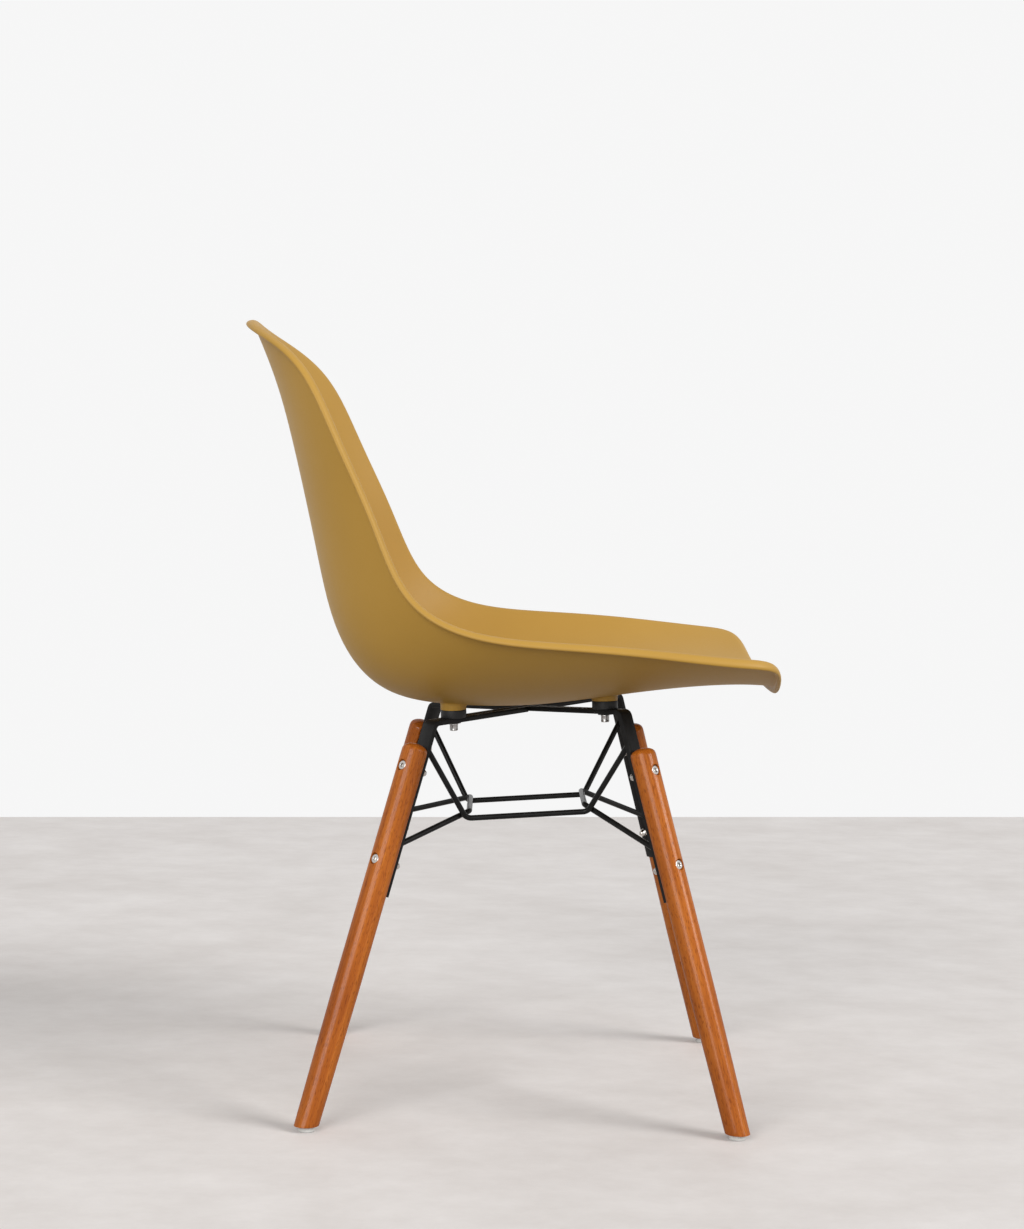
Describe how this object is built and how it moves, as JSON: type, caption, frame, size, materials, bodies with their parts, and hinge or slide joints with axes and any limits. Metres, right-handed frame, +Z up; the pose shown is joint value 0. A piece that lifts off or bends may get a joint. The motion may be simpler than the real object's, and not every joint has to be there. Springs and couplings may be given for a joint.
{
  "type": "shell chair",
  "caption": "Side chair with a moulded plastic bucket shell and a rolled lip, on splayed wooden dowel legs joined by a black frame of crossed straps and wires.",
  "frame": {"origin": "on the floor, under the middle of the chair's bounding box", "axes": "+Z up, -Y the way the sitter faces, +X to the sitter's left"},
  "size_m": [0.4818, 0.5671, 0.82],
  "materials": {
    "shell_plastic": "fine texture",
    "stained_wood": "stained, satin lacquer",
    "black_steel": "satin powder coat",
    "nickel_steel": "nickel plated",
    "zinc_steel": "zinc plated",
    "rubber": "matt",
    "brass": "plain",
    "glide_plastic": "plain"
  },
  "bodies": {
    "root": {"seat_shell": "shell_plastic", "boss_inserts": "brass", "seat_flat_washers": "black_steel", "seat_spring_washers": "zinc_steel", "seat_bolts": "zinc_steel", "strap_main": "black_steel", "strap_cross": "black_steel", "wire_left": "black_steel", "wire_right": "black_steel", "wire_front": "black_steel", "wire_rear": "black_steel", "leg_bolts": "nickel_steel", "leg_nuts": "nickel_steel", "glide_nails": "zinc_steel", "spacer_front_left": "rubber", "leg_front_left": "stained_wood", "glide_front_left": "glide_plastic", "spacer_front_right": "rubber", "leg_front_right": "stained_wood", "glide_front_right": "glide_plastic", "spacer_rear_left": "rubber", "leg_rear_left": "stained_wood", "glide_rear_left": "glide_plastic", "spacer_rear_right": "rubber", "leg_rear_right": "stained_wood", "glide_rear_right": "glide_plastic"}
  },
  "joints": []
}
